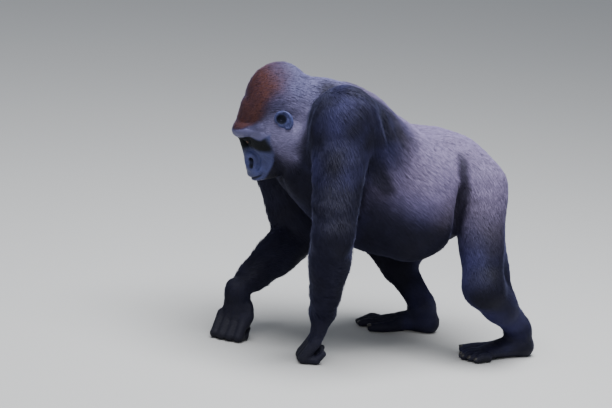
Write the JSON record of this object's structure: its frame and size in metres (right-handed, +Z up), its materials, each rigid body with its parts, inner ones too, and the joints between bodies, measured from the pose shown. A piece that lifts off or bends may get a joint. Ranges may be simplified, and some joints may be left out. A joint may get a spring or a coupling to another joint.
{
  "type": "standing gorilla model",
  "caption": "Life-size still model of an adult male gorilla walking on its knuckles, head lowered and left hind leg trailing.",
  "frame": {"origin": "on the floor, under the middle of the whole figure", "axes": "+Z up, -Y the way the animal walks, +X its left side"},
  "size_m": [0.791, 1.0426, 0.921],
  "materials": {
    "coat_black": "long smooth hair",
    "coat_grey": "short smooth hair",
    "coat_brown": "short dense hair",
    "bare_skin": "bare wrinkled skin",
    "eye": "wet and glossy"
  },
  "bodies": {
    "root": {"head": "coat_brown", "neck": "coat_grey", "trunk": "coat_grey", "ear_left": "bare_skin", "ear_right": "bare_skin", "eye_left": "eye", "eye_right": "eye", "upper_arm_left": "coat_black", "upper_arm_right": "coat_black", "forearm_left": "coat_black", "forearm_right": "coat_black", "hand_left": "bare_skin", "hand_right": "bare_skin", "thigh_left": "coat_grey", "thigh_right": "coat_grey", "shank_left": "coat_black", "shank_right": "coat_black", "foot_left": "bare_skin", "foot_right": "bare_skin"}
  },
  "joints": []
}
